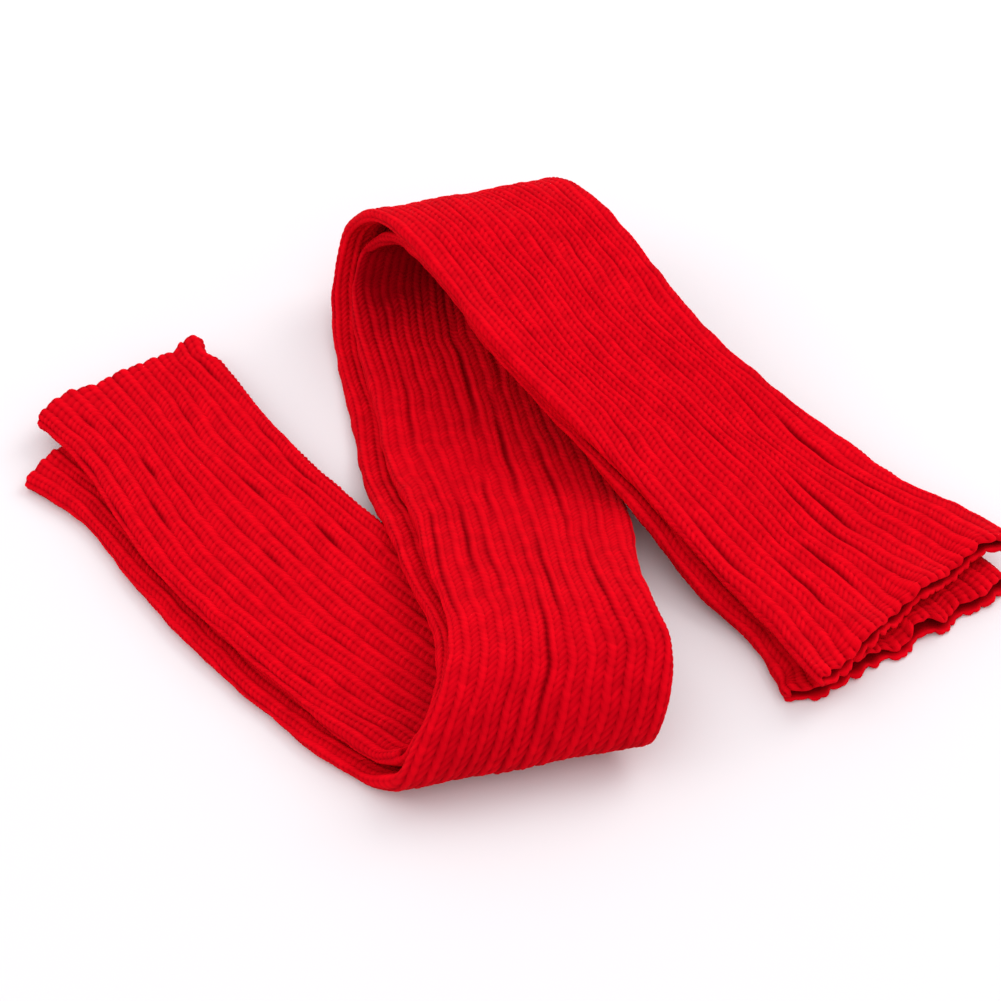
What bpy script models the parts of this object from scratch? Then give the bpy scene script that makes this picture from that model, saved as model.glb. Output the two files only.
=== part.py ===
"""A pair of footless thigh-high socks in chunky 1x1 rib, laid on each other and folded together in a Z.

Each sock is one hollow knitted tube, pressed flat and open at both mouths. Both follow one surface midway
between them, given by a row per station of PAIR: sock_a lies on its upper side at the left-hand end, sock_b on
the other. Lengths are in millimetres here and are scaled to metres where the meshes are made.
"""

import bmesh
import bpy
import numpy as np

MM = 0.001

RIBS = 28  # rib columns round a sock
RIB_RAISE = 0.9  # how far a rib stands out of the furrow beside it
WALL = 2.55  # cloth from the plain inside to the top of a rib
SLOT = 0.6  # room left between the two layers of a flattened sock
INNER_POINTS = RIBS  # points round the plain inside
SECTIONS = 42  # sections along a sock
TURN_WEIGHT = 52.0  # extra millimetres a radian of fold counts for when sections are spread
SCALLOP = 0.9  # how far a rib's end stands past its furrow's at a mouth
LIP_WAVE = 1.9  # rise and fall of a flared mouth
LIP_PITCH = 31.0  # millimetres from wave to wave across the mouth
LIP_REACH = 26.0  # how far up the sock the waves and the gape fade out
PUCKER_PITCH = 21.0  # millimetres from pucker to pucker where a mouth's layer lies by the other sock
FLARE_REACH = 42.0  # how far up the sock a mouth's spread corners fade out
EDGE_REACH = 14.0  # how far up the sock the unevenness of its edge fades out
REST = 1.25  # cloth lower than this lies on the ground

# Stations along the surface midway between the socks, from the left-hand end to the right-hand end:
# x, y, z of its middle; azimuth and tilt of the line across it, in degrees; width of sock_a; gap between the
# socks; shift of sock_b across and its turn against sock_a, in degrees; how much wider sock_b is.
COLUMNS = ("x", "y", "z", "azimuth", "tilt", "width", "gap", "shift", "turn", "wider")
PAIR = (
    # left-hand end, flat on the ground
    (-152.4, 56.2, 6.7, 37.5, 0, 75, 1.1, -19, 12, 0),
    (-138.0, 37.5, 6.5, 36.0, 0, 73, 0.9, -16, 7, 0),
    (-127.5, 21.0, 6.4, 35.0, 0, 72, 0.8, -12, 3, 0),
    (-115.5, 1.5, 6.3, 35.0, 0, 74, 0.7, -8, 0, 0),
    (-98.5, -22.0, 6.3, 35.0, 0, 77, 0.7, -7, 0, 0),
    (-80.5, -43.0, 6.3, 34.0, 0, 78, 0.7, -8, 0, 0),
    (-56.5, -69.0, 6.3, 31.0, 0, 80, 0.7, -8, 0, 0),
    (-37.5, -88.0, 6.3, 27.0, 0, 82, 0.8, -8, 0, 0),
    (-16.0, -109.5, 6.6, 21.0, 0, 86, 1.1, -7, 0, 0),
    # near fold
    (0.5, -125.0, 8.6, 15.0, 0, 89, 1.8, -5, 0, 0),
    (7.5, -130.5, 15.0, 12.5, 0, 88, 2.4, -3, 0, 0),
    (11.0, -126.0, 24.0, 12.5, 0, 86, 2.4, -1, 0, 0),
    (12.5, -112.5, 30.2, 13.0, 0, 82, 1.8, 1, 0, 0),
    (9.7, -93.5, 30.0, 14.5, 0, 76, 1.0, 2, 0, 0),
    # back over the first run, then down onto the ground
    (6.0, -73.5, 25.4, 16.0, -2, 74, 0.8, 4, 0, 0),
    (2.2, -54.5, 20.3, 16.0, -5, 77, 0.7, 6, 0, 0),
    (-4.8, -23.5, 13.5, 16.0, -9, 82, 0.7, 8, 0, 0),
    (-13.8, 9.5, 8.4, 16.0, -3, 84, 0.7, 9, 0, 0),
    (-23.0, 53.5, 6.3, 17.0, 0, 82, 0.7, 9, 0, 0),
    (-31.0, 93.5, 8.2, 18.0, 0, 82, 1.5, 8, 0, 0),
    # far fold, a tall open loop
    (-32.5, 117.0, 16.0, 18.0, 0, 82, 3.2, 8, 0, 0),
    (-27.5, 128.0, 29.0, 18.0, 0, 82, 4.0, 7, 0, 0),
    (-16.5, 121.0, 41.5, 17.5, -1, 82, 4.2, 6, 0, 0),
    (-2.5, 103.5, 46.0, 18.0, -2, 82, 2.8, 4, 0, 0),
    # down across the middle run to the right-hand end
    (9.5, 86.5, 43.5, 20.0, -3, 82, 1.4, 3, 0, 0),
    (30.5, 53.5, 36.0, 21.0, -5, 82, 0.7, 2, 0, 0),
    (56.0, 26.0, 26.0, 22.0, -6, 83, 0.7, 1, 0, 0),
    (86.5, -2.0, 15.5, 26.0, -5, 86, 0.8, -4, 0, 0),
    (114.0, -32.5, 8.7, 34.0, -1, 91, 1.0, -6, 0, 0),
    (127.0, -45.0, 7.4, 39.0, 0, 96, 1.4, -6, -3, -4),
    (140.0, -63.5, 7.9, 44.0, 0, 105, 2.4, -5, -8, -7),
    (146.0, -72.0, 8.3, 45.0, 0, 108, 2.9, -5, -9, -8),
)

# A mouth: how far its layers part; how far its left-hand and right-hand corners spread; how far its upper
# layer's edge stands back; how high it puckers; and its edge's bulges, each with its place across the mouth, how
# far out it stands and half its width, in shares of the width.
MOUTHS = {
    "a_left": {
        "gape": 0.4,
        "flare": (2.0, 0.0),
        "back": 0.0,
        "pucker": 0.0,
        "bulges": (
            (0.0, -3.5, 0.06),
            (0.2, 3.2, 0.14),
            (0.52, 1.8, 0.12),
            (0.8, -1.2, 0.06),
            (0.93, 2.2, 0.07),
        ),
    },
    "a_right": {
        "gape": 1.6,
        "flare": (0.0, 0.0),
        "back": 0.9,
        "pucker": 0.8,
        "bulges": ((0.45, -2.2, 0.12), (0.75, -0.8, 0.12), (0.96, 4.0, 0.08)),
    },
    "b_left": {
        "gape": 0.6,
        "flare": (3.4, 0.0),
        "back": 0.0,
        "pucker": 0.0,
        "bulges": ((0.0, -1.5, 0.06), (0.2, 4.2, 0.12)),
    },
    "b_right": {
        "gape": 2.6,
        "flare": (4.5, -1.0),
        "back": 1.9,
        "pucker": 0.8,
        "bulges": ((0.0, -6.0, 0.07), (0.45, 2.8, 0.05), (0.65, 3.2, 0.05), (0.86, 3.0, 0.09)),
    },
}

# How far from the pair's two ends each sock begins and stops, and its mouths there.
SOCKS = {
    "sock_a": {"side": 1, "start": 0.0, "stop": 5.0, "left": "a_left", "right": "a_right"},
    "sock_b": {"side": -1, "start": 16.5, "stop": 1.5, "left": "b_left", "right": "b_right"},
}


def curve_through(knots, values, at):
    """Smooth curve through the stations' values, read at given lengths."""
    step = np.diff(knots)
    rise = np.diff(values) / step
    slope = np.empty(len(knots))
    slope[1:-1] = (rise[:-1] * step[1:] + rise[1:] * step[:-1]) / (step[:-1] + step[1:])
    slope[0] = rise[0]
    slope[-1] = rise[-1]
    span = np.clip(np.searchsorted(knots, at, side="right") - 1, 0, len(knots) - 2)
    u = (at - knots[span]) / step[span]
    return (
        (2 * u**3 - 3 * u**2 + 1) * values[span]
        + (u**3 - 2 * u**2 + u) * step[span] * slope[span]
        + (3 * u**2 - 2 * u**3) * values[span + 1]
        + (u**3 - u**2) * step[span] * slope[span + 1]
    )


def unit(vectors):
    return vectors / np.linalg.norm(vectors, axis=-1, keepdims=True)


def fade(distance, reach):
    """1 at the mouth, falling smoothly to 0 at the given reach."""
    u = np.clip(1 - distance / reach, 0, 1)
    return u * u * (3 - 2 * u)


class Pair:
    """The surface midway between the socks."""

    def __init__(self):
        rows = np.array(PAIR, float)
        self.column = {name: rows[:, i] for i, name in enumerate(COLUMNS)}
        steps = np.linalg.norm(np.diff(rows[:, :3], axis=0), axis=1)
        self.knots = np.concatenate([[0.0], np.cumsum(steps)])
        self.length = self.knots[-1]

    def read(self, name, at):
        return curve_through(self.knots, self.column[name], np.asarray(at, float))

    def middle(self, at):
        return np.stack([self.read(axis, at) for axis in "xyz"], axis=-1)

    def along(self, at):
        ahead = np.clip(at + 0.05, 0, self.length)
        behind = np.clip(at - 0.05, 0, self.length)
        return unit(self.middle(ahead) - self.middle(behind))

    def across(self, at, turned=0.0):
        azimuth = np.radians(self.read("azimuth", at) + turned)
        tilt = np.radians(self.read("tilt", at))
        return np.stack(
            [np.cos(azimuth) * np.cos(tilt), np.sin(azimuth) * np.cos(tilt), np.sin(tilt)],
            axis=-1,
        )

    def spread(self, start, stop, count):
        """Lengths for the sections, closer together where the cloth bends."""
        fine = np.linspace(start, stop, 1201)
        heading = self.along(fine)
        bend = np.arccos(np.clip((heading[1:] * heading[:-1]).sum(axis=1), -1, 1))
        weight = np.concatenate([[0.0], np.cumsum(np.diff(fine) + TURN_WEIGHT * bend)])
        return np.interp(np.linspace(0, weight[-1], count), weight, fine)


def ring(count, width, half_thick):
    """Points evenly spaced round a flat tube's outline with their outward normals, from its left-hand edge."""
    flat = width / 2 - half_thick
    arc = np.pi * half_thick / 2
    quarter = arc + flat
    place = np.arange(count) / count * 4 * quarter
    lap = np.floor(place / (2 * quarter))  # 0 over the upper face, 1 back under the lower one
    place = place - lap * 2 * quarter
    turn = np.clip(place, 0, arc) / half_thick + np.clip(place - arc - 2 * flat, 0, arc) / half_thick
    x = np.clip(place - arc, 0, 2 * flat) - flat - half_thick * np.cos(turn)
    y = half_thick * np.sin(turn)
    sign = 1 - 2 * lap
    outline = np.stack([x * sign, y * sign], axis=-1)
    normal = np.stack([-np.cos(turn) * sign, np.sin(turn) * sign], axis=-1)
    return outline, normal


class Sock:
    """One sock as rings of points: ribbed outside, plain inside."""

    def __init__(self, pair, side, start, stop, left, right):
        self.pair = pair
        self.side = side
        self.at = pair.spread(start, pair.length - stop, SECTIONS)
        self.mouths = ((MOUTHS[left], -1, self.at - self.at[0]), (MOUTHS[right], 1, self.at[-1] - self.at))
        self.slot = SLOT + sum(mouth["gape"] * fade(gone, LIP_REACH) for mouth, _, gone in self.mouths)
        self.lip = fade(self.at[-1] - self.at, LIP_REACH)
        other = side < 0
        self.width = pair.read("width", self.at) + other * pair.read("wider", self.at)
        self.shift = other * pair.read("shift", self.at)
        self.turn = other * pair.read("turn", self.at)
        self.gap = pair.read("gap", self.at)

    def edge_shifts(self, i, x, normal):
        """How far the mouths move a section's points across the sock, along it and up."""
        share = x / self.width[i]
        across, ahead, rise = 0 * x, 0 * x, 0 * x
        inner = np.clip(-self.side * normal[:, 1], 0, 1)
        for mouth, out, gone in self.mouths:
            flare = np.where(share < 0, mouth["flare"][0], mouth["flare"][1])
            across += np.sign(share) * (2 * share) ** 2 * flare * fade(gone[i], FLARE_REACH)
            edge = -mouth["back"] * np.clip(normal[:, 1], 0, 1)
            for place, stand, half in mouth["bulges"]:
                edge += stand * np.exp(-(((share + 0.5 - place) / half) ** 2))
            ahead += out * edge * fade(gone[i], EDGE_REACH)
            pucker = mouth["pucker"] * fade(gone[i], LIP_REACH)
            rise += pucker * inner * np.sin(2 * np.pi * x / PUCKER_PITCH)
        return across, ahead, rise

    def rings(self, count, ribbed):
        """Every section's points, outside or inside, as an array of sections by points by xyz."""
        middle = self.pair.middle(self.at)
        along = self.pair.along(self.at)
        across = self.pair.across(self.at)
        up = unit(np.cross(along, across))
        across_own = self.pair.across(self.at, self.turn)
        crest = np.cos(2 * np.pi * RIBS * np.arange(count) / count)
        rows = []
        for i in range(SECTIONS):
            half = WALL + self.slot[i] / 2
            centre = middle[i] + up[i] * self.side * (half + self.gap[i] / 2) + across[i] * self.shift[i]
            outline, normal = ring(count, self.width[i], half)
            if ribbed:
                outline = outline + normal * (crest[:, None] - 1) * RIB_RAISE / 2
            else:
                outline = outline - normal * WALL
            spread, ahead, rise = self.edge_shifts(i, outline[:, 0], normal)
            points = centre + (outline[:, :1] + spread[:, None]) * across_own[i] + outline[:, 1:] * up[i]
            points += along[i] * ahead[:, None]
            wave = LIP_WAVE * self.lip[i] * np.sin(2 * np.pi * outline[:, 0] / LIP_PITCH)
            points[:, 2] += wave + rise
            if i in (0, SECTIONS - 1):
                out = -1 if i == 0 else 1
                points += along[i] * out * (crest[:, None] - 1) * SCALLOP / 2 * ribbed
            if ribbed:
                points[:, 2] = np.where(points[:, 2] < REST, 0.0, points[:, 2])
            else:
                points[:, 2] = np.maximum(points[:, 2], WALL - RIB_RAISE)
            rows.append(points)
        return np.array(rows)


def add_rings(mesh, rings):
    return [[mesh.verts.new(point * MM) for point in row] for row in rings]


def skin(mesh, rings, inwards):
    """Quads between neighbouring rings, facing out of the cloth."""
    count = len(rings[0])
    for near, far in zip(rings[:-1], rings[1:]):
        for j in range(count):
            k = (j + 1) % count
            loop = (near[j], near[k], far[k], far[j])
            mesh.faces.new(loop if inwards else loop[::-1])


def rim(mesh, outer, inner, inwards):
    """Faces across the cloth's edge at a mouth, two outer points to each inner one."""
    step = len(outer) // len(inner)
    for j in range(len(inner)):
        k = (j + 1) % len(inner)
        first = j * step
        fan = [outer[(first + n) % len(outer)] for n in range(step + 1)]
        for a, b in zip(fan[:-1], fan[1:]):
            loop = (inner[j], a, b)
            mesh.faces.new(loop if inwards else loop[::-1])
        loop = (inner[j], fan[-1], inner[k])
        mesh.faces.new(loop if inwards else loop[::-1])


def knit_material(name):
    material = bpy.data.materials.new(name)
    material.use_nodes = True
    shader = material.node_tree.nodes["Principled BSDF"]
    shader.inputs["Base Color"].default_value = (0.72, 0.004, 0.012, 1.0)
    shader.inputs["Roughness"].default_value = 0.9
    shader.inputs["Metallic"].default_value = 0.0
    return material


def build_sock(pair, name, measures, collection):
    sock = Sock(pair, **measures)
    mesh = bmesh.new()
    outside = add_rings(mesh, sock.rings(2 * RIBS, True))
    inside = add_rings(mesh, sock.rings(INNER_POINTS, False))
    skin(mesh, outside, False)
    skin(mesh, inside, True)
    rim(mesh, outside[0], inside[0], True)
    rim(mesh, outside[-1], inside[-1], False)
    bmesh.ops.triangulate(mesh, faces=mesh.faces)
    bmesh.ops.recalc_face_normals(mesh, faces=mesh.faces)
    data = bpy.data.meshes.new(name)
    mesh.to_mesh(data)
    mesh.free()
    data.shade_smooth()
    data.materials.append(knit_material("rib_knit_" + name[-1]))
    body = bpy.data.objects.new(name, data)
    collection.objects.link(body)


def main():
    for item in list(bpy.data.objects):
        bpy.data.objects.remove(item)
    collection = bpy.data.collections.new("footless thigh-high socks")
    bpy.context.scene.collection.children.link(collection)
    pair = Pair()
    for name, measures in SOCKS.items():
        build_sock(pair, name, measures, collection)


main()
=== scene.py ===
"""Looks of a pair of footless thigh-high socks, knitted in chunky 1x1 rib and folded together in a Z.

Each sock is a flattened tube. Its cloth starts as a flat grid, with a few columns to a rib and a few rows to
a stitch, and is rolled into the tube and laid along the fold. Lengths are in millimetres until a mesh is
made.
"""

import logging
import math
from dataclasses import dataclass
from enum import Enum

import bmesh
import bpy
import numpy as np
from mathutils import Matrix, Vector


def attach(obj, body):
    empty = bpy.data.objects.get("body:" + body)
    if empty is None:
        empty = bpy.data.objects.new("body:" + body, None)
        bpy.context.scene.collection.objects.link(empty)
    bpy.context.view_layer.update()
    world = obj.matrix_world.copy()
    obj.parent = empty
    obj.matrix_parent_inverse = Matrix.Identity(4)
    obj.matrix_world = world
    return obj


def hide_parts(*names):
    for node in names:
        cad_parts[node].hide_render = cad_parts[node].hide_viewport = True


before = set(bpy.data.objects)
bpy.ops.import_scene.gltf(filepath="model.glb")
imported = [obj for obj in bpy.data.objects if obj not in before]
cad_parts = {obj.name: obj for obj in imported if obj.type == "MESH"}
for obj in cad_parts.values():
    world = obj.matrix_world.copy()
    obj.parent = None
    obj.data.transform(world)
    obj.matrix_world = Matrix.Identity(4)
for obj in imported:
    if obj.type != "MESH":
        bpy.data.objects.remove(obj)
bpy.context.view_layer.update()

MM = 0.001
LOG = logging.getLogger("socks")
PAST_END = 900.0  # past every mouth, so that a stretch runs on to its sock's own end


def linear(hex_colour: str) -> tuple[float, float, float, float]:
    """Turns an sRGB hex colour to linear light.

    Args:
        hex_colour: a colour such as "#E3000F".

    Returns:
        Its red, green, blue and alpha for a shader's socket.
    """
    channels = [int(hex_colour[i : i + 2], 16) / 255 for i in (1, 3, 5)]
    light = [c / 12.92 if c <= 0.04045 else ((c + 0.055) / 1.055) ** 2.4 for c in channels]
    return (light[0], light[1], light[2], 1.0)


def add_node(
    tree: bpy.types.NodeTree, kind: str, settings: dict | None = None, links: dict | None = None
) -> bpy.types.Node:
    """Adds one node to a material.

    Args:
        tree: the material's node tree.
        kind: the node's type name.
        settings: properties by name, and input values by socket name or number.
        links: for each input socket, the output socket that feeds it.

    Returns:
        The new node.
    """
    node = tree.nodes.new(kind)
    for key, value in (settings or {}).items():
        if isinstance(key, str) and hasattr(node, key):
            setattr(node, key, value)
        else:
            node.inputs[key].default_value = value
    for key, output in (links or {}).items():
        tree.links.new(output, node.inputs[key])
    return node


def fade(distance: np.ndarray, reach: float) -> np.ndarray:
    """Returns 1 at no distance, falling smoothly to 0 at the given reach."""
    u = np.clip(1 - distance / reach, 0, 1)
    return u * u * (3 - 2 * u)


def unit(vectors: np.ndarray) -> np.ndarray:
    """Returns the vectors at length one."""
    return vectors / np.linalg.norm(vectors, axis=-1, keepdims=True)


class Side(Enum):
    """Which side of the surface midway between the socks one of them lies on."""

    OVER = 1
    UNDER = -1


class Face(Enum):
    """How finely a rib's face is modelled: the grid's columns from one rib's cleft to the next."""

    STITCHED = (0.0, 0.08, 0.19, 0.31, 0.42, 0.5, 0.58, 0.69, 0.81, 0.92)
    PLAIN = (0.0, 0.28, 0.5, 0.72)


@dataclass(frozen=True)
class Gauge:
    """Sizes of the knitting, in millimetres unless a line says otherwise.

    A rib is one column of V stitches. The leg on the side where the count of ribs is lower slants and shows
    as separate strokes; the other stands nearly straight and runs on as one ridge.
    """

    ribs: int = 28
    course: float = 2.4  # one row of stitches, along the sock
    rows: int = 3  # grid rows to a course
    wall: float = 2.55  # cloth from the plain inside to the top of a rib
    slot: float = 0.6  # room between the two layers of a flattened sock
    furrow: float = 0.74  # depth of the furrow between two ribs
    cleft: float = 0.56  # depth of the cleft between the two legs of a stitch
    furrow_hole: float = 0.5  # extra depth of a furrow from stitch to stitch
    cleft_hole: float = 0.52  # extra depth of a cleft at the foot of a stitch
    slant_dip: float = 0.4  # depth of the dip between two strokes of the slanted leg
    straight_dip: float = 0.2  # the same on the straight leg
    slant_low: float = 0.17  # how much lower the slanted leg lies
    vee: float = 2.6  # how far a stitch's legs climb from the cleft to the furrow
    uneven: float = 0.07  # how much one stitch stands out more than another
    blunt: float = 0.8  # exponent that rounds off the tops of legs and stitches
    crest: float = 0.25  # place of a leg's top, in ribs from the cleft
    straight_vee: float = 2.4  # exponent that holds the straight leg's climb back until beside the furrow
    pulled_from: tuple[float, ...] = (0, 0.15, 0.29, 0.5)  # places across half a rib, in ribs, and where they
    pulled_to: tuple[float, ...] = (0, 0.25, 0.43, 0.5)  # go on a rib pulled fully apart
    pulled_holes: float = 0.72  # share of the holes, of the furrow and of the cleft that the pull takes away
    pulled_furrow: float = 0.5
    pulled_cleft: float = 0.55

    def relief(
        self, around: np.ndarray, phase: np.ndarray, gain: np.ndarray, pulled: np.ndarray
    ) -> np.ndarray:
        """Depth of the knitted face below the tops of the ribs.

        Args:
            around: place round the sock, in ribs, whole at a rib's cleft.
            phase: place along the sock, in courses, whole between two stitches.
            gain: how many times deeper than usual the furrow is.
            pulled: how far the rib is pulled apart, from 0 to 1, its legs narrow and its furrows wide and
                smooth.

        Returns:
            The depth at each point.
        """
        side = around - np.round(around)
        off = np.abs(side)
        wide = np.interp(off, self.pulled_from, self.pulled_to)
        off = off + pulled * (wide - off)
        between = (1 - np.abs(np.sin(np.pi * phase)) ** self.blunt) * (1 - self.pulled_holes * pulled)
        leg = np.abs(np.sin(2 * np.pi * off)) ** self.blunt
        beside = off > self.crest
        gain = gain * (1 - self.pulled_furrow * pulled)
        valley = np.where(beside, self.furrow * gain, self.cleft * (1 - self.pulled_cleft * pulled))
        hole = np.where(beside, self.furrow_hole, self.cleft_hole)
        slanted = side < 0
        dip = np.where(slanted, self.slant_dip, self.straight_dip)
        return (1 - leg) * (valley + hole * between) + leg * (dip * between + self.slant_low * slanted)

    def climb(self, around: np.ndarray) -> np.ndarray:
        """Returns how far along the sock a stitch has climbed at each place round it."""
        side = around - np.round(around)
        return self.vee * (2 * np.abs(side)) ** np.where(side < 0, 1.0, self.straight_vee)


class Lay:
    """How the pair lies: the surface midway between the two socks, from end to end of the Z."""

    # Stations from the left-hand end to the right-hand end: x, y, z of the surface's middle; azimuth and tilt
    # of the line across it, in degrees; width of sock_a; gap between the socks; shift of sock_b across and
    # its turn against sock_a, in degrees; how much wider sock_b is.
    COLUMNS = ("x", "y", "z", "azimuth", "tilt", "width", "gap", "shift", "turn", "wider")
    STATIONS = (
        # left-hand end, flat on the ground
        (-152.4, 56.2, 6.7, 37.5, 0, 75, 1.1, -19, 12, 0),
        (-138.0, 37.5, 6.5, 36.0, 0, 73, 0.9, -16, 7, 0),
        (-127.5, 21.0, 6.4, 35.0, 0, 72, 0.8, -12, 3, 0),
        (-115.5, 1.5, 6.3, 35.0, 0, 74, 0.7, -8, 0, 0),
        (-98.5, -22.0, 6.3, 35.0, 0, 77, 0.7, -7, 0, 0),
        (-80.5, -43.0, 6.3, 34.0, 0, 78, 0.7, -8, 0, 0),
        (-56.5, -69.0, 6.3, 31.0, 0, 80, 0.7, -8, 0, 0),
        (-37.5, -88.0, 6.3, 27.0, 0, 82, 0.8, -8, 0, 0),
        (-16.0, -109.5, 6.6, 21.0, 0, 86, 1.1, -7, 0, 0),
        # near fold
        (0.5, -125.0, 8.6, 15.0, 0, 89, 1.8, -5, 0, 0),
        (7.5, -130.5, 15.0, 12.5, 0, 88, 2.4, -3, 0, 0),
        (11.0, -126.0, 24.0, 12.5, 0, 86, 2.4, -1, 0, 0),
        (12.5, -112.5, 30.2, 13.0, 0, 80, 1.8, 2.5, 0, 0),
        (9.7, -93.5, 30.0, 14.5, 0, 72, 1.0, 4.5, 0, 0),
        # back over the first run, then down onto the ground
        (6.0, -73.5, 25.4, 16.0, -2, 72, 0.8, 5, 0, 0),
        (2.2, -54.5, 20.3, 16.0, -5, 77, 0.7, 6, 0, 0),
        (-4.8, -23.5, 13.5, 16.0, -9, 82, 0.7, 8, 0, 0),
        (-13.8, 9.5, 8.4, 16.0, -3, 84, 0.7, 9, 0, 0),
        (-23.0, 53.5, 6.3, 17.0, 0, 82, 0.7, 9, 0, 0),
        (-31.0, 93.5, 8.2, 18.0, 0, 82, 1.5, 8, 0, 0),
        # far fold, a tall open loop
        (-32.5, 117.0, 16.0, 18.0, 0, 82, 3.2, 8, 0, 0),
        (-27.5, 128.0, 29.0, 18.0, 0, 82, 4.0, 7, 0, 0),
        (-16.5, 121.0, 41.5, 17.5, -1, 82, 4.2, 6, 0, 0),
        (-2.5, 103.5, 46.0, 18.0, -2, 82, 2.8, 4, 0, 0),
        # down across the middle run to the right-hand end
        (9.5, 86.5, 43.5, 20.0, -3, 82, 1.4, 3, 0, 0),
        (30.5, 53.5, 36.0, 21.0, -5, 82, 0.7, 2, 0, 0),
        (56.0, 26.0, 26.0, 22.0, -6, 83, 0.7, 1, 0, 0),
        (86.5, -2.0, 15.5, 26.0, -5, 86, 0.8, -4, 0, 0),
        (114.0, -32.5, 8.7, 34.0, -1, 91, 1.0, -6, 0, 0),
        (127.0, -45.0, 7.4, 39.0, 0, 96, 1.4, -6, -3, -4),
        (140.0, -63.5, 7.9, 44.0, 0, 105, 2.4, -5, -8, -7),
        (146.0, -72.0, 8.3, 45.0, 0, 108, 2.9, -5, -9, -8),
    )
    BEND_WEIGHT = 52.0  # extra millimetres a radian of fold counts for when rows are spread
    HAIR = 0.05  # short step that a direction is measured over
    FINE = 1201  # lengths that the bend is measured at

    def __init__(self) -> None:
        """Measures the way along the stations."""
        rows = np.array(self.STATIONS, float)
        self.column = {name: rows[:, i] for i, name in enumerate(self.COLUMNS)}
        steps = np.linalg.norm(np.diff(rows[:, :3], axis=0), axis=1)
        self.knots = np.concatenate([[0.0], np.cumsum(steps)])
        self.length = float(self.knots[-1])

    def read(self, name: str, at: np.ndarray) -> np.ndarray:
        """Reads a smooth curve through one column of the stations.

        Args:
            name: the column.
            at: lengths along the surface.

        Returns:
            The column's value at each length.
        """
        knots, values = self.knots, self.column[name]
        step = np.diff(knots)
        rise = np.diff(values) / step
        slope = np.empty(len(knots))
        slope[1:-1] = (rise[:-1] * step[1:] + rise[1:] * step[:-1]) / (step[:-1] + step[1:])
        slope[0] = rise[0]
        slope[-1] = rise[-1]
        span = np.clip(np.searchsorted(knots, at, side="right") - 1, 0, len(knots) - 2)
        u = (at - knots[span]) / step[span]
        return (
            (2 * u**3 - 3 * u**2 + 1) * values[span]
            + (u**3 - 2 * u**2 + u) * step[span] * slope[span]
            + (3 * u**2 - 2 * u**3) * values[span + 1]
            + (u**3 - u**2) * step[span] * slope[span + 1]
        )

    def middle(self, at: np.ndarray) -> np.ndarray:
        """Returns the surface's middle point at each length."""
        return np.stack([self.read(axis, at) for axis in "xyz"], axis=-1)

    def along(self, at: np.ndarray) -> np.ndarray:
        """Returns the direction along the surface at each length."""
        within = np.clip(at, self.HAIR, self.length - self.HAIR)
        return unit(self.middle(within + self.HAIR) - self.middle(within - self.HAIR))

    def across(self, at: np.ndarray, turned: np.ndarray | float = 0.0) -> np.ndarray:
        """Returns the direction across the surface at each length, turned by some degrees."""
        azimuth = np.radians(self.read("azimuth", at) + turned)
        tilt = np.radians(self.read("tilt", at))
        level = np.cos(tilt)
        return np.stack([np.cos(azimuth) * level, np.sin(azimuth) * level, np.sin(tilt)], axis=-1)

    def spread(self, start: float, stop: float, count: int) -> np.ndarray:
        """Lengths between start and stop, closer together where the cloth bends.

        Args:
            start: first length.
            stop: last length.
            count: how many lengths.

        Returns:
            The lengths in order.
        """
        fine = np.linspace(start, stop, self.FINE)
        heading = self.along(fine)
        bend = np.arccos(np.clip((heading[1:] * heading[:-1]).sum(axis=1), -1, 1))
        weight = np.concatenate([[0.0], np.cumsum(np.diff(fine) + self.BEND_WEIGHT * bend)])
        return np.interp(np.linspace(0, weight[-1], count), weight, fine)


@dataclass(frozen=True)
class Waves:
    """Smooth seeded unevenness round and along a sock, as a sum of slanted waves."""

    seed: int
    size: float  # height of the sum, about
    shortest: float  # shortest and longest wave along the sock
    longest: float
    turns: int  # most waves round the sock
    count: int = 9

    def at(self, around: np.ndarray, along: np.ndarray, ribs: int) -> np.ndarray:
        """Reads the waves.

        Args:
            around: place round the sock, in ribs.
            along: place along it, in millimetres.
            ribs: ribs in the whole round.

        Returns:
            The sum of the waves at each point.
        """
        chance = np.random.default_rng(self.seed)
        total = np.zeros(np.broadcast(around, along).shape)
        for _ in range(self.count):
            length = self.shortest * (self.longest / self.shortest) ** chance.random()
            turns = int(chance.integers(-self.turns, self.turns + 1))
            start = chance.random() * 2 * np.pi
            total += np.sin(2 * np.pi * (along / length + turns * around / ribs) + start)
        return total * self.size / math.sqrt(self.count)


@dataclass(frozen=True)
class Crease:
    """One soft trough pressed into a sock, along a furrow."""

    around: float  # where it lies, in ribs round the sock
    start: float  # where along the sock it starts and stops
    stop: float
    depth: float
    spread: float = 0.17  # half its width, in ribs
    lean: float = 0.0  # how many ribs it drifts over its length

    BLUNT = 0.7  # exponent that keeps it deep nearly to its ends
    LIP_PLACE = 2.2  # how many half widths off the lips beside it stand
    LIP_SHARE = 0.3  # how high they are for its depth

    def depth_at(self, around: np.ndarray, along: np.ndarray, ribs: int) -> np.ndarray:
        """Returns the trough's depth at each point, a little less than none on the lips beside it."""
        share = np.clip((along - self.start) / (self.stop - self.start), 0, 1)
        line = self.around + self.lean * (share - 0.5)
        off = (around - line + ribs / 2) % ribs - ribs / 2
        trough = np.exp(-((off / self.spread) ** 2))
        lips = np.exp(-(((np.abs(off) - self.LIP_PLACE * self.spread) / self.spread) ** 2))
        return self.depth * np.sin(np.pi * share) ** self.BLUNT * (trough - self.LIP_SHARE * lips)


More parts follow.
